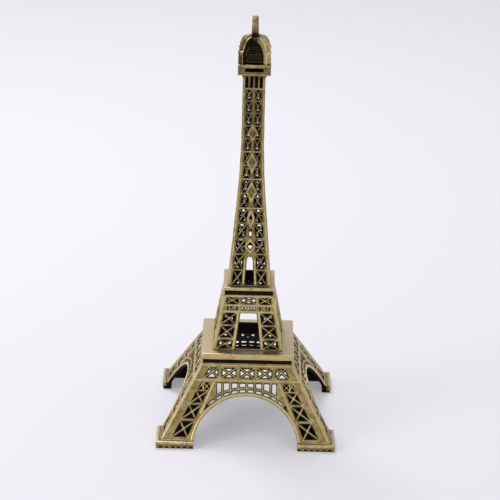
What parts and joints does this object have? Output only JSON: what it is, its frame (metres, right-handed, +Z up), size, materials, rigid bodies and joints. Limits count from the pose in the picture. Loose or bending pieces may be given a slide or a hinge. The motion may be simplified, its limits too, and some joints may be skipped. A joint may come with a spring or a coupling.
{
  "type": "miniature lattice tower",
  "caption": "Table souvenir: hollow lattice tower on four arched legs with two square decks, a slender curved shaft, a small crown and a hanging ring.",
  "frame": {"origin": "on the table, under the middle of the tower", "axes": "+Z up along the tower, front towards -Y, +X to the right"},
  "size_m": [0.0764, 0.0764, 0.18],
  "materials": {
    "antique_brass": "satin",
    "solder": "matte"
  },
  "bodies": {
    "root": {"foot_front_left": "antique_brass", "foot_front_right": "antique_brass", "foot_back_right": "antique_brass", "foot_back_left": "antique_brass", "base_panel_front": "antique_brass", "base_panel_right": "antique_brass", "base_panel_back": "antique_brass", "base_panel_left": "antique_brass", "base_solder": "solder", "first_deck": "antique_brass", "mid_panel_front": "antique_brass", "mid_panel_right": "antique_brass", "mid_panel_back": "antique_brass", "mid_panel_left": "antique_brass", "mid_solder": "solder", "second_deck": "antique_brass", "shaft_panel_front": "antique_brass", "shaft_panel_right": "antique_brass", "shaft_panel_back": "antique_brass", "shaft_panel_left": "antique_brass", "gallery": "antique_brass", "cabin_step": "antique_brass", "cabin": "antique_brass", "crown_strap_front_left": "antique_brass", "crown_strap_front_right": "antique_brass", "crown_strap_back_right": "antique_brass", "crown_strap_back_left": "antique_brass", "crown_hub": "antique_brass", "hanging_ring": "antique_brass"}
  },
  "joints": []
}
